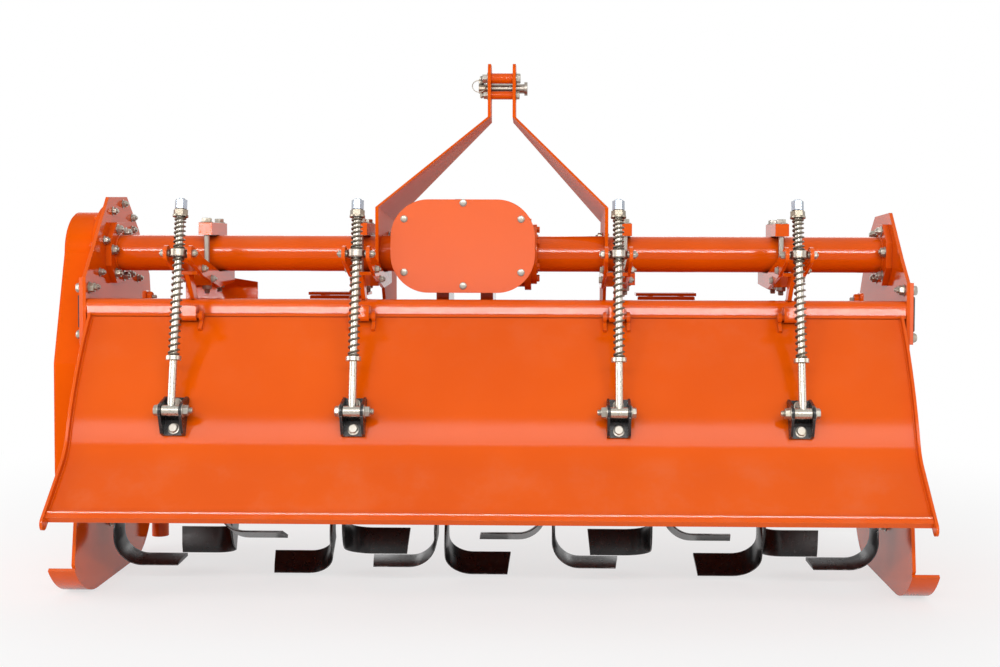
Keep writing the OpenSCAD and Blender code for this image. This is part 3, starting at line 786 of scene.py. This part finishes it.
class TILLER_OT_plate_bolts(bpy.types.Operator):
    """Puts the bolts through the side plates, their straps and the skids"""

    bl_idname = "tiller.plate_bolts"
    bl_label = "Side plate bolts"

    def execute(self, context):
        bm = bmesh.new()
        case_studs = ((238, 920), (158, 900), (311, 886), (311, 855), (92, 828), (56, 751), (291, 741),
                      (359, 729))
        for y, z in case_studs:
            nut(bm, spot(-SIDE_IN, y, z), (1, 0, 0), 10 * MM, 0.4, True, y)
        for s in (-1, 1):
            nut(bm, spot(s * SIDE_IN, -20, 716), (-s, 0, 0), 13 * MM, 0.5, True, 0.2)
            nut(bm, spot(s * SIDE_IN, 16, 716), (-s, 0, 0), 10 * MM, 0.5, True, 0.5)
            bolt(bm, spot(s * (SIDE_OUT + STRAP_T), STRAP_Y, 716), (s, 0, 0), 13 * MM, True, 0.2)
            acorn = facing(spot(s * (SIDE_OUT + STRAP_T), STRAP_Y, 606), (s, 0, 0))
            crown = hexagon(bm, acorn, 13 * MM, 8 * MM)
            dome(bm, crown.translation, (s, 0, 0), 9.5 * MM)
            for y in (100, 320):
                nut(bm, spot(s * (SIDE_IN - 8), y, 140), (-s, 0, 0), 13 * MM, 0.3, True, y)
                if s > 0 or y > 300:
                    bolt(bm, spot(s * SIDE_OUT, y, 140), (s, 0, 0), 13 * MM, True, y)
        make("plate_bolts", bm, "frame", "fastener_zinc")
        return {"FINISHED"}


class TILLER_OT_case_bolts(bpy.types.Operator):
    """Puts the cap screws round the flange of the side gear case"""

    bl_idname = "tiller.case_bolts"
    bl_label = "Gear case screws"

    def execute(self, context):
        spots = [(293, z) for z in (490, 395, 300)] + [(-13, z) for z in (490, 395, 300)]
        spots += [(41, 715), (10, 610), (287, 715), (290, 610)]
        for first, last, count, centre, radius in ((10, 170, 5, TUBE, 109), (195, 345, 6, (140, 285), 153)):
            for k in range(count):
                a = math.radians(first + (last - first) * k / (count - 1))
                spots.append((centre[0] + radius * math.cos(a), centre[1] + radius * math.sin(a)))
        bm = bmesh.new()
        for y, z in spots:
            bolt(bm, spot(-SIDE_OUT - 12, y, z), (-1, 0, 0), 8 * MM, True, 0.3 * y)
        make("case_bolts", bm, "frame", "orange_enamel")
        return {"FINISHED"}


class TILLER_OT_clamp_bolts(bpy.types.Operator):
    """Clamps the four rod brackets round the main tube"""

    bl_idname = "tiller.clamp_bolts"
    bl_label = "Clamp bolts"

    def execute(self, context):
        bm = bmesh.new()
        top = TUBE[1] + TUBE_R + CLAMP_H
        under = TUBE[1] - TUBE_R - CLAMP_H
        for cross, off in zip(ROD_CROSS, CLAMP_OFF):
            for y in (TUBE[0] - CLAMP_HALF, TUBE[0] + CLAMP_HALF):
                bolt(bm, spot(cross + off, y, top), (0, 0, 1), 14 * MM, True, y)
                nut(bm, spot(cross + off, y, under), (0, 0, -1), 14 * MM, 0.7, True, y)
                shank = facing(spot(cross + off, y, under + 20), (0, 0, 1))
                turn_up(bm, shank, [(6.8 * MM, 0.0), (6.8 * MM, 110 * MM)], 16)
            for y, z in ((-65, 762), (16, 737)):
                nut(bm, spot(cross + ARM_OUT, y, z), (1, 0, 0), 9 * MM, 0.4, True, y)
                bolt(bm, spot(cross - ARM_OUT, y, z), (-1, 0, 0), 9 * MM, True, z)
        make("clamp_bolts", bm, "frame", "fastener_zinc")
        return {"FINISHED"}


class TILLER_OT_mast_bolts(bpy.types.Operator):
    """Bolts the mast's heads together, and its feet to the brackets"""

    bl_idname = "tiller.mast_bolts"
    bl_label = "Mast bolts"

    def execute(self, context):
        bm = bmesh.new()
        for z, d in ((1257, 15), (1213, 12)):
            nut(bm, spot(-HEAD_OUT, 403, z), (-1, 0, 0), d * MM, 0.4, True, 0.3)
            bolt(bm, spot(HEAD_OUT, 403, z), (1, 0, 0), d * MM, True, 0.1)
        for foot, s in zip(MAST_FEET, (-1, 1)):
            for y, z in ((300, 840), (300, 760)):
                bolt(bm, spot(foot + MAST_HALF * s, y, z), (s, 0, 0), 12 * MM, True, y)
                nut(bm, spot(foot - MAST_HALF * s, y, z), (-s, 0, 0), 12 * MM, 0.4, True, z)
        make("mast_bolts", bm, "frame", "fastener_zinc")
        return {"FINISHED"}


class TILLER_OT_linch_pin(bpy.types.Operator):
    """Locks the top link pin with a linch pin and its snap ring"""

    bl_idname = "tiller.linch_pin"
    bl_label = "Linch pin"

    def execute(self, context):
        bm = bmesh.new()
        foot = facing(spot(-55, 430, 1208), (0, 0, 1))
        turn_up(bm, foot, [(2.6 * MM, 0.0), (4.4 * MM, 2.5 * MM), (4.5 * MM, 38 * MM), (7.6 * MM, 39 * MM),
                           (8.2 * MM, 41 * MM), (8.2 * MM, 49 * MM), (6.2 * MM, 52 * MM)], 20)
        wire_ring(bm, spot(-61, 413.5, 1238), (0.05, -0.90, 0.43), 18 * MM, 1.3 * MM)
        make("linch_pin", bm, "frame", "fastener_zinc")
        return {"FINISHED"}


class TILLER_OT_clevis_bolts(bpy.types.Operator):
    """Puts the pin nuts and the foot bolts on the four clevises of the board"""

    bl_idname = "tiller.clevis_bolts"
    bl_label = "Clevis bolts"

    def execute(self, context):
        bm = bmesh.new()
        for i, x in enumerate(ROD_X):
            side = 1 if i < 2 else -1
            pin = Vector((x, ROD_PIN.y, ROD_PIN.z))
            nut(bm, pin + Vector((side * CHEEK_OUT * MM, 0, 0)), (side, 0, 0), 14 * MM, 0.6, True, 0.4 * i)
            bolt(bm, pin - Vector((side * CHEEK_OUT * MM, 0, 0)), (-side, 0, 0), 14 * MM, True, 0.3 * i)
            base = pin - BOARD_OUT * 38 * MM
            bolt(bm, base - BOARD_UP * 31 * MM, BOARD_OUT, 12 * MM, True, 0.5 * i)
            bolt(bm, base + BOARD_UP * 27 * MM, BOARD_OUT, 12 * MM, True, 0.2 * i)
        make("clevis_bolts", bm, "board", "fastener_zinc")
        return {"FINISHED"}


class TILLER_OT_swivel_nuts(bpy.types.Operator):
    """Locks the swivel rings' pins in the brackets' arms"""

    bl_idname = "tiller.swivel_nuts"
    bl_label = "Swivel nuts"

    def execute(self, context):
        bm = bmesh.new()
        for i, x in enumerate(ROD_X):
            for s in (-1, 1):
                at = Vector((x + s * (ARM_OUT + 0.4) * MM, SWIVEL.y, SWIVEL.z))
                nut(bm, at, (s, 0, 0), 10 * MM, 0.2, False, 0.6 * i)
        make("swivel_nuts", bm, "rod_swivels", "fastener_zinc")
        bm = bmesh.new()
        for x in ROD_X:
            collar(bm, facing(Vector((x, SWIVEL.y, SWIVEL.z)), ROD_UP), 17 * MM, 21 * MM, 8 * MM)
        make("swivel_collars", bm, "rod_swivels", "dull_steel")
        return {"FINISHED"}


class TILLER_OT_weld_beads(bpy.types.Operator):
    """Lays the weld beads on the frame and along the board's edges"""

    bl_idname = "tiller.weld_beads"
    bl_label = "Weld beads"

    def execute(self, context):
        bm = bmesh.new()
        for x in (-SIDE_IN + TUBE_FLANGE, BOX_LEFT - TUBE_FLANGE, BOX_RIGHT + TUBE_FLANGE,
                  SIDE_IN - TUBE_FLANGE):
            bead(bm, tube_seam(x), 3.4 * MM, int(x))
        for s in (-1, 1):
            edge = s * SIDE_IN
            bead(bm, [spot(edge, y, HOOD_TOP) for y in (-4, 90, 200, 300)], 3.2 * MM, 11 + s)
            bead(bm, [spot(edge, -45, z) for z in (658, 674)], 3.0 * MM, 21 + s)
            for ear in (s * HITCH_HALF + off for off in (-47, -35, 35, 47)):
                bead(bm, [spot(ear, y, BEAM_TOP) for y in (426, 450, 478)], 3.2 * MM, ear)
        for foot in (middle + off for middle in MAST_FEET for off in (-MAST_HALF, MAST_HALF)):
            bead(bm, [spot(foot, y, BEAM_TOP) for y in (426, 450, 476)], 3.2 * MM, foot)
        for i, cross in enumerate(ROD_CROSS):
            for dx in (-5, 5):
                bead(bm, [spot(cross + dx, y, 691) for y in (-37, -24, -11)], 2.6 * MM, 7 * i + dx)
        bead(bm, [spot(-SIDE_IN, 422, z) for z in (472, 550, 628)], 3.2 * MM, 5)
        make("frame_welds", bm, "frame", "orange_enamel", 60.0)
        bm = bmesh.new()
        curve = self.board_line()
        for x in (-BOARD_EDGE, BOARD_EDGE):
            bead(bm, [spot(x, y, z) for y, z in curve], 2.6 * MM, int(x))
        y, z = curve[-1]
        bead(bm, [spot(x, y - 0.8, z + 0.6) for x in (-936, -400, 200, 936)], 2.6 * MM, 3)
        make("board_welds", bm, "board", "orange_enamel", 60.0)
        return {"FINISHED"}

    def board_line(self):
        """The board's outer face from the hinge to its lower edge, in the source's millimetres."""
        line = []
        for k in range(13):
            a = math.radians(BOARD_TOP_LEAN - (BOARD_TOP_LEAN - BOARD_LOW_LEAN) * k / 12)
            line.append((BOARD_CENTRE[0] - BOARD_R * math.cos(a), BOARD_CENTRE[1] + BOARD_R * math.sin(a)))
        y, z = line[-1]
        low = math.radians(BOARD_LOW_LEAN)
        centre = (y - BEND_R * math.cos(low), z + BEND_R * math.sin(low))
        for k in range(1, 8):
            a = math.radians(BOARD_LOW_LEAN + (FLARE_LEAN - BOARD_LOW_LEAN) * k / 7)
            line.append((centre[0] + BEND_R * math.cos(a), centre[1] - BEND_R * math.sin(a)))
        y, z = line[-1]
        flare = math.radians(FLARE_LEAN)
        line.append((y - FLARE_LENGTH * math.sin(flare), z - FLARE_LENGTH * math.cos(flare)))
        return line


class TILLER_OT_fittings(bpy.types.Operator):
    """Adds the breather, the guard's screws, the housing's nuts, the hood's lugs and the stand's lock bolt"""

    bl_idname = "tiller.fittings"
    bl_label = "Small fittings"

    def execute(self, context):
        bm = bmesh.new()
        for x, z in COVER_CORNERS:
            nut(bm, spot(x, 46, z), (0, 1, 0), 12 * MM, 0.4, True, x)
        for k in range(4):
            a = math.radians(45 + 90 * k)
            bolt(bm, spot(70 * math.cos(a), 354, BOX_Z + 70 * math.sin(a)), (0, 1, 0), 8 * MM, True, k)
        for x, s in HOOD_LUGS:
            thread_end(bm, facing(spot(x + s * 20, 120, 689), (s, 0, 0)), 11 * MM, 10 * MM)
        lock = facing(spot(-926.5, 478, 552), (0, 1, 0))
        hexagon(bm, lock, 18 * MM, 10 * MM)
        nut(bm, spot(-926.5, 488, 552), (0, 1, 0), 14 * MM, 0.9, False, 0.3)
        make("fittings", bm, "frame", "fastener_zinc")
        bm = bmesh.new()
        for x, s in HOOD_LUGS:
            strip(bm, facing(spot(x, 120, 685), (s, 0, 0)), 40 * MM, 40 * MM, 8 * MM, 8 * MM)
            hexagon(bm, facing(spot(x + s * 8, 120, 689), (s, 0, 0)), 15 * MM, 12 * MM)
        make("hood_lugs", bm, "frame", "orange_enamel")
        bm = bmesh.new()
        foot = facing(spot(-97, 150, 921.5), (0, 0, 1))
        turn_up(bm, foot, [(11 * MM, 0.0, 20 * MM), (11 * MM, 4 * MM, 20 * MM), (8 * MM, 4.5 * MM),
                           (8 * MM, 5.5 * MM), (11 * MM, 6 * MM), (11.4 * MM, 8 * MM), (9.5 * MM, 9.5 * MM),
                           (4 * MM, 10 * MM)])
        make("breather", bm, "frame", "black_enamel")
        return {"FINISHED"}


class TILLER_OT_closing_strips(bpy.types.Operator):
    """Closes the gap under the hinge bar, ties the hitch lugs, ribs the hood and rolls the board's lip"""

    bl_idname = "tiller.closing_strips"
    bl_label = "Closing strips"

    def execute(self, context):
        bm = bmesh.new()
        lip = facing(spot(0, -40.5, 654.3), (0, -1, 0))
        strip(bm, lip, 2 * (SIDE_IN - 1) * MM, 8 * MM, 3.5 * MM, 2 * MM)
        make("hinge_lip", bm, "frame", "orange_enamel")
        bm = bmesh.new()
        for s in (-1, 1):
            tie = facing(spot(s * HITCH_HALF, 424.2, 668), (0, -1, 0))
            strip(bm, tie, 152 * MM, 31 * MM, 5 * MM, 4 * MM)
        make("hitch_ties", bm, "frame", "soiled_enamel")
        bm = bmesh.new()
        rib = ((-812, 664), (-626, 664), (-626, 722), (-740, 740), (-812, 740))
        skin(bm, [[spot(x, y, z) for x, z in rib] for y in (302, 296)])
        make("hood_rib", bm, "frame", "bar_enamel")
        bm = bmesh.new()
        ridge = ((-347.0, 246.5), (-349.4, 251.2), (-350.8, 246.9), (-350.6, 244.8))
        skin(bm, [[spot(x, y, z) for y, z in ridge] for x in (-BOARD_EDGE, -300.0, 300.0, BOARD_EDGE)])
        make("lip_ridge", bm, "board", "orange_enamel", 20.0)
        return {"FINISHED"}


class TILLER_OT_tines(bpy.types.Operator):
    """Forges the tines: a sickle leg, a wide bend and a square-cut blade with a ground edge"""

    bl_idname = "tiller.tines"
    bl_label = "Tines"

    def execute(self, context):
        for hand, node in ((-1, "tines_left_hand"), (1, "tines_right_hand")):
            bm = bmesh.new()
            for x, roll, _ in tine_places(hand):
                skin(bm, [[on_rotor(x + hand * (FLANGE_T / 2 + side), roll, across, out)
                           for across, out, side in ring] for ring in self.rings()])
            piece = make(node.replace("_hand", "_forged"), bm, "rotor", "tine_paint", 24.0)
            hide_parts(node)
        return {"FINISHED"}

    def rings(self):
        """Sections from bolted end to tip: heel in, heel out, edge out, edge in, start of the bevel."""
        lean = Vector((math.sin(TINE_RAKE), math.cos(TINE_RAKE)))
        side = Vector((math.cos(TINE_RAKE), -math.sin(TINE_RAKE)))
        mid = TINE_R * lean.x
        base = TINE_R * lean.y - TINE_T / 2 - TINE_BEND
        lead = mid + TINE_W / 2
        heel = mid - TINE_W / 2
        rows = []
        for k in range(11):
            t = k / 10
            a = self.curve(SHANK_R * lean + SHANK_HALF * side, Vector((lead, base - LEAD_SWEEP)),
                           Vector((lead, base)), t)
            b = self.curve(SHANK_R * lean - SHANK_HALF * side, Vector((heel, base - HEEL_SWEEP)),
                           Vector((heel, base)), t)
            bevel = a.lerp(b, t * EDGE_W / TINE_W)
            edge = TINE_T - t * (TINE_T - EDGE_T)
            rows.append([(*b, TINE_T), (*b, 0.0), (*a, 0.0), (*a, edge), (*bevel, TINE_T)])
        inner, outer = TINE_BEND, TINE_BEND + TINE_T
        section = ((heel, inner), (heel, outer), (lead, outer), (lead, outer - EDGE_T),
                   (lead - EDGE_W, inner))
        for k in range(1, 13):
            a = math.pi / 2 * k / 12
            rows.append([(u, base + r * math.sin(a), outer - r * math.cos(a)) for u, r in section])
        rows.append([(u, base + r, TINE_REACH - (u - heel) * TINE_SLANT) for u, r in section])
        return rows

    def curve(self, a, b, c, t):
        """A point of the bow from a to c that heads for b."""
        return (1 - t) ** 2 * a + 2 * t * (1 - t) * b + t * t * c


class TILLER_OT_gap_shade_strips(bpy.types.Operator):
    """Lays black strips on the straps outside the side plates: painted shade for the shadowed gap between strap
    and gear case
    """

    bl_idname = "tiller.edge_strips"
    bl_label = "Edge strips"

    def execute(self, context):
        bm = bmesh.new()
        for s, low, high in ((-1, 622, 700), (1, 620, 702)):
            at = spot(s * (SIDE_OUT + STRAP_T), STRAP_Y, (low + high) / 2)
            strip(bm, facing(at, (s, 0, 0), math.pi / 2), (high - low) * MM, 26 * MM, 4 * MM, 5 * MM)
        # Painted shade: a dark sheet on each strap where the gap beside it lies in shadow
        make("edge_strips", bm, "frame", "gap_shade_black")
        return {"FINISHED"}


class TILLER_OT_rotor_bolts(bpy.types.Operator):
    """Bolts every tine to its flange with two bolts"""

    bl_idname = "tiller.rotor_bolts"
    bl_label = "Tine bolts"

    def execute(self, context):
        bm = bmesh.new()
        d = 13 * MM
        for hand in (-1, 1):
            for x, roll, turn in tine_places(hand):
                outer = x + hand * (FLANGE_T / 2 + TINE_T)
                inner = x - hand * FLANGE_T / 2
                for side in (-TINE_BOLT_HALF, TINE_BOLT_HALF):
                    across = TINE_BOLT_R * math.sin(TINE_RAKE) + side * math.cos(TINE_RAKE)
                    out = TINE_BOLT_R * math.cos(TINE_RAKE) - side * math.sin(TINE_RAKE)
                    bolt(bm, on_rotor(outer, roll, across, out), (hand, 0, 0), d, False, turn)
                    nut(bm, on_rotor(inner, roll, across, out), (-hand, 0, 0), d, 0.3, False, turn)
        make("tine_bolts", bm, "rotor", "fastener_zinc")
        return {"FINISHED"}


class TILLER_OT_stage(bpy.types.Operator):
    """Sets the floor, the soft lamps and the camera"""

    bl_idname = "tiller.stage"
    bl_label = "Stage"

    def execute(self, context):
        look = context.scene.tiller_stage
        scene = context.scene
        scene.view_settings.view_transform = "Standard"
        bm = bmesh.new()
        bmesh.ops.create_grid(bm, x_segments=8, y_segments=8, size=30.0)
        mesh = bpy.data.meshes.new("floor")
        bm.to_mesh(mesh)
        bm.free()
        ground = bpy.data.objects.new("floor", mesh)
        scene.collection.objects.link(ground)
        mesh.materials.append(self.floor_paint(look))
        self.sky(look)
        self.lamp("strip_light", (0.1, -6.4, 3.04), (7.5, 0.28), look.low_box, (0.1, 0.0, 0.75))
        self.lamp("high_softbox", (0.1, -5.2, 4.0), (7.0, 0.6), look.high_box, (0.1, 0.0, 0.45))
        self.lamp("left_softbox", (-6.0, -0.6, 1.5), (4.0, 3.0), look.left_box, (0.0, 0.0, 0.8))
        self.lamp("right_softbox", (6.0, -0.6, 1.5), (4.0, 3.0), look.right_box, (0.0, 0.0, 0.8))
        self.lamp("front_softbox", (0.0, 6.0, 3.2), (7.0, 2.0), look.front_box, (0.0, 0.0, 0.6))
        self.camera(look)
        return {"FINISHED"}

    def seen(self, r):
        """1 where the background is looked at, straight or in metal, 0 where it lights the object."""
        share = r.add("ShaderNodeLightPath", out="Is Camera Ray")
        for kind in ("Is Glossy Ray", "Is Transmission Ray"):
            share = share.most(r.add("ShaderNodeLightPath", out=kind))
        return share

    def floor_paint(self, look):
        r = Recipe(bpy.data.materials.new("pale_floor"))
        grain = r.noise(3.0, 4.0)
        matt = r.add("ShaderNodeBsdfPrincipled", {}, {
            "Base Color": r.tint(grain * 0.3, tuple(look.floor), tuple(c * 0.97 for c in look.floor)),
            "Roughness": 0.85 + grain * 0.1})
        white = r.add("ShaderNodeEmission", {}, {"Color": (1, 1, 1, 1), "Strength": 1.0})
        away = r.add("ShaderNodeVectorMath", {"operation": "LENGTH"}, {0: r.place()}, out="Value")
        share = 0.66 + away.step(1.0, 2.8) * 0.34
        mixed = r.add("ShaderNodeMixShader", {}, {"Fac": self.seen(r) * share, 1: matt, 2: white})
        r.add("ShaderNodeOutputMaterial", {}, {"Surface": mixed})
        return r.owner

    def sky(self, look):
        world = bpy.data.worlds.new("studio")
        r = Recipe(world)
        even = r.add("ShaderNodeBackground", {}, {"Color": (1, 1, 1, 1), "Strength": look.sky})
        white = r.add("ShaderNodeBackground", {}, {"Color": (1, 1, 1, 1), "Strength": 1.0})
        mixed = r.add("ShaderNodeMixShader", {}, {"Fac": self.seen(r), 1: even, 2: white})
        r.add("ShaderNodeOutputWorld", {}, {"Surface": mixed})
        bpy.context.scene.world = world

    def lamp(self, name, at, size, power, aim):
        light = bpy.data.lights.new(name, "AREA")
        light.shape = "RECTANGLE"
        light.size, light.size_y = size
        light.energy = power
        lamp = bpy.data.objects.new(name, light)
        lamp.location = at
        lamp.rotation_mode = "QUATERNION"
        lamp.rotation_quaternion = (Vector(aim) - Vector(at)).to_track_quat("-Z", "Y")
        bpy.context.scene.collection.objects.link(lamp)

    def camera(self, look):
        lens = bpy.data.cameras.new("photo_view")
        lens.lens = look.lens
        lens.sensor_width = 36.0
        lens.sensor_fit = "HORIZONTAL"
        lens.shift_x = -0.03
        lens.shift_y = -0.04
        lens.clip_end = 200.0
        eye = bpy.data.objects.new("photo_view", lens)
        eye.location = spot(142.9, -3238.5, 821.7)
        yaw, pitch, roll = (math.radians(a) for a in (1.063, 2.063, 0.17))
        ahead = Vector((-math.sin(yaw) * math.cos(pitch), math.cos(yaw) * math.cos(pitch), -math.sin(pitch)))
        right = Vector((math.cos(yaw), math.sin(yaw), 0.0))
        up = right.cross(ahead)
        right, up = (math.cos(roll) * right + math.sin(roll) * up,
                     math.cos(roll) * up - math.sin(roll) * right)
        turned_to = Matrix((right, up, -ahead)).transposed().to_4x4()
        eye.matrix_world = Matrix.Translation(eye.location) @ turned_to
        bpy.context.scene.collection.objects.link(eye)
        bpy.context.scene.camera = eye


class TILLER_PT_dresser(bpy.types.Panel):
    """Lists the steps that dress the tiller"""

    bl_label = "Tiller"
    bl_idname = "TILLER_PT_dresser"
    bl_space_type = "VIEW_3D"
    bl_region_type = "UI"
    bl_category = "Tiller"

    def draw(self, context):
        for step in STEPS:
            self.layout.operator(step.bl_idname)
        for group in ("tiller_finish", "tiller_springs", "tiller_stage"):
            owner = getattr(context.scene, group)
            for name in owner.bl_rna.properties.keys():
                if name not in ("rna_type", "name"):
                    self.layout.prop(owner, name)


STEPS = (
    TILLER_OT_stage,
    TILLER_OT_finishes,
    TILLER_OT_springs,
    TILLER_OT_cover_screws,
    TILLER_OT_tube_bolts,
    TILLER_OT_plate_bolts,
    TILLER_OT_case_bolts,
    TILLER_OT_clamp_bolts,
    TILLER_OT_mast_bolts,
    TILLER_OT_linch_pin,
    TILLER_OT_clevis_bolts,
    TILLER_OT_swivel_nuts,
    TILLER_OT_rotor_bolts,
    TILLER_OT_weld_beads,
    TILLER_OT_fittings,
    TILLER_OT_gap_shade_strips,
    TILLER_OT_closing_strips,
    TILLER_OT_tines,
)
GROUPS = {"tiller_finish": TillerFinish, "tiller_springs": TillerSprings, "tiller_stage": TillerStage}


def register():
    for cls in (*GROUPS.values(), *STEPS, TILLER_PT_dresser):
        bpy.utils.register_class(cls)
    for name, cls in GROUPS.items():
        setattr(bpy.types.Scene, name, bpy.props.PointerProperty(type=cls))


def unregister():
    for name in GROUPS:
        delattr(bpy.types.Scene, name)
    for cls in (TILLER_PT_dresser, *reversed(STEPS), *GROUPS.values()):
        bpy.utils.unregister_class(cls)


def main():
    register()
    bpy.ops.tiller.stage()
    bpy.ops.tiller.finishes()
    bpy.ops.tiller.springs()
    bpy.ops.tiller.cover_screws()
    bpy.ops.tiller.tube_bolts()
    bpy.ops.tiller.plate_bolts()
    bpy.ops.tiller.case_bolts()
    bpy.ops.tiller.clamp_bolts()
    bpy.ops.tiller.mast_bolts()
    bpy.ops.tiller.linch_pin()
    bpy.ops.tiller.clevis_bolts()
    bpy.ops.tiller.swivel_nuts()
    bpy.ops.tiller.rotor_bolts()
    bpy.ops.tiller.weld_beads()
    bpy.ops.tiller.fittings()
    bpy.ops.tiller.edge_strips()
    bpy.ops.tiller.closing_strips()
    bpy.ops.tiller.tines()


if __name__ == "__main__":
    main()
